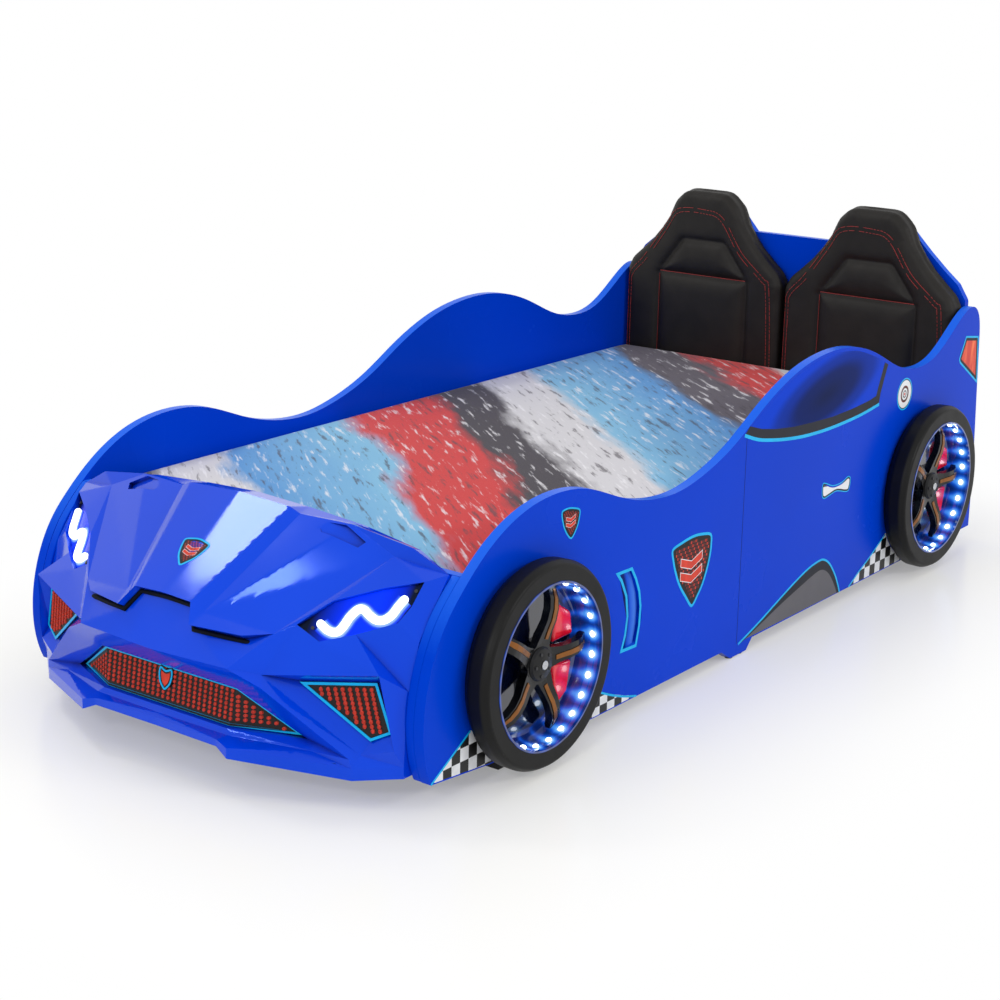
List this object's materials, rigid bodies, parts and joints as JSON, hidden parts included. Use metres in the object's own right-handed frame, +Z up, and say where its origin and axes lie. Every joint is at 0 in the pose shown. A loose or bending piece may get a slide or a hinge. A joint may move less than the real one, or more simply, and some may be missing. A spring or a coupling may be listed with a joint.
{
  "type": "children's race car bed",
  "caption": "Low race-car bed for a child: wave-shaped side boards, faceted lit nose, spoked dummy wheels with light rings, seat-shaped head cushions and a loose mattress on slats.",
  "frame": {"origin": "on the floor, under the middle of the bounding box", "axes": "+X to the car's left, +Y from the nose towards the head end, +Z up"},
  "size_m": [1.073, 2.241, 0.786],
  "materials": {
    "blue_board": "high gloss foil",
    "blue_moulding": "high gloss",
    "tyre_black": "satin",
    "dish_dark": "gloss",
    "led_white": "lit",
    "spoke_black": "gloss",
    "bronze": "satin metallic",
    "hub_black": "matt",
    "caliper_red": "gloss",
    "lamp_blue": "gloss",
    "lamp_white": "lit",
    "grille_dark": "matt",
    "black_leather": "soft grain",
    "black_board": "matt",
    "mattress_cloth": "printed cloth",
    "bare_wood": "planed",
    "steel": "zinc",
    "dark_plastic": "matt"
  },
  "bodies": {
    "base": {"calipers_front_left": "caliper_red", "calipers_front_right": "caliper_red", "calipers_rear_left": "caliper_red", "calipers_rear_right": "caliper_red", "centre_beam": "bare_wood", "control_box": "dark_plastic", "corner_brackets": "steel", "cushion_board_left": "black_board", "cushion_board_right": "black_board", "foot_board": "blue_board", "front_trim_left": "blue_board", "front_trim_right": "blue_board", "glides": "dark_plastic", "grille_centre": "grille_dark", "grille_left": "grille_dark", "grille_right": "grille_dark", "headboard": "blue_board", "headlamp_guide_left": "lamp_white", "headlamp_guide_right": "lamp_white", "headlamp_tray_left": "lamp_blue", "headlamp_tray_right": "lamp_blue", "hub_cap_front_left": "hub_black", "hub_cap_front_right": "hub_black", "hub_cap_rear_left": "hub_black", "hub_cap_rear_right": "hub_black", "lamp_screws": "steel", "led_ring_front_left": "led_white", "led_ring_front_right": "led_white", "led_ring_rear_left": "led_white", "led_ring_rear_right": "led_white", "legs": "black_board", "nose_shell": "blue_moulding", "seam_plates": "bare_wood", "seat_cushion_left": "black_leather", "seat_cushion_right": "black_leather", "side_panel_left_front": "blue_board", "side_panel_left_rear": "blue_board", "side_panel_right_front": "blue_board", "side_panel_right_rear": "blue_board", "side_rail_left": "bare_wood", "side_rail_right": "bare_wood", "slats": "bare_wood", "spoke_inlays": "bronze", "spoke_star_front_left": "spoke_black", "spoke_star_front_right": "spoke_black", "spoke_star_rear_left": "spoke_black", "spoke_star_rear_right": "spoke_black", "tyre_front_left": "tyre_black", "tyre_front_right": "tyre_black", "tyre_rear_left": "tyre_black", "tyre_rear_right": "tyre_black", "wheel_dish_front_left": "dish_dark", "wheel_dish_front_right": "dish_dark", "wheel_dish_rear_left": "dish_dark", "wheel_dish_rear_right": "dish_dark"},
    "mattress": {"mattress": "mattress_cloth"}
  },
  "joints": [
    {"name": "mattress_lift", "type": "slide", "parent": "base", "child": "mattress", "axis": [0, 0, 1], "range_m": [0, 0.4]}
  ]
}
